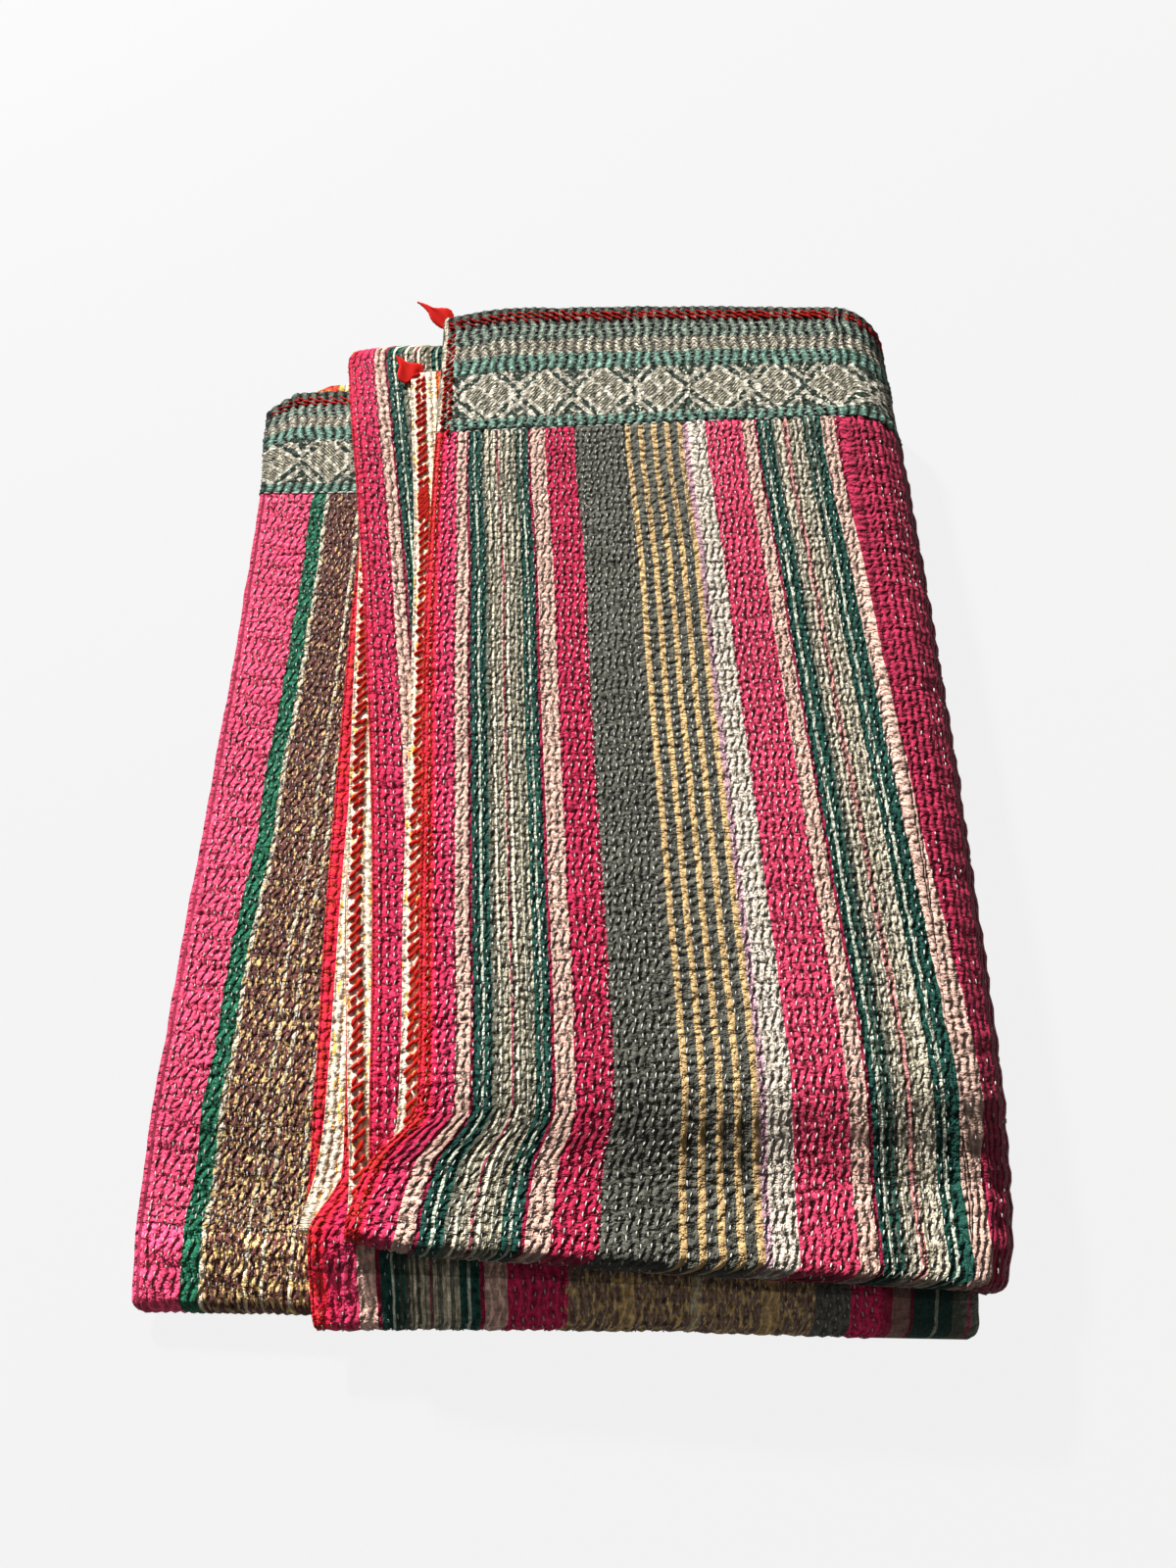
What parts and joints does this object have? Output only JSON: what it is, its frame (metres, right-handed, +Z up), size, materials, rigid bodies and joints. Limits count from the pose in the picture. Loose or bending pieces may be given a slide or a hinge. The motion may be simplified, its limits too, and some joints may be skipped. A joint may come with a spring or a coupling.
{
  "type": "folded kantha quilt",
  "caption": "Folded patchwork kantha quilt: soft running-stitched cotton cloth doubled and folded into a flat stack, with striped panels and bordered ends.",
  "frame": {"origin": "middle of the footprint of the folded stack, on the surface that it lies on", "axes": "+Y along the long side of the stack, away from its near folds and towards the bordered ends; +X towards the thick right-hand fold; +Z up through the leaves"},
  "size_m": [0.4063, 0.6022, 0.0639],
  "materials": {
    "patched_cotton": "soft worn cotton in printed stripes, running-stitched in close rows",
    "border_cotton": "woven cotton border with a zigzag line and diamonds",
    "red_cotton": "plain red cotton"
  },
  "bodies": {
    "root": {"quilt": "patched_cotton", "border_top": "border_cotton", "border_low": "border_cotton", "corner_tab_top": "red_cotton", "corner_tab_second": "red_cotton"}
  },
  "joints": []
}
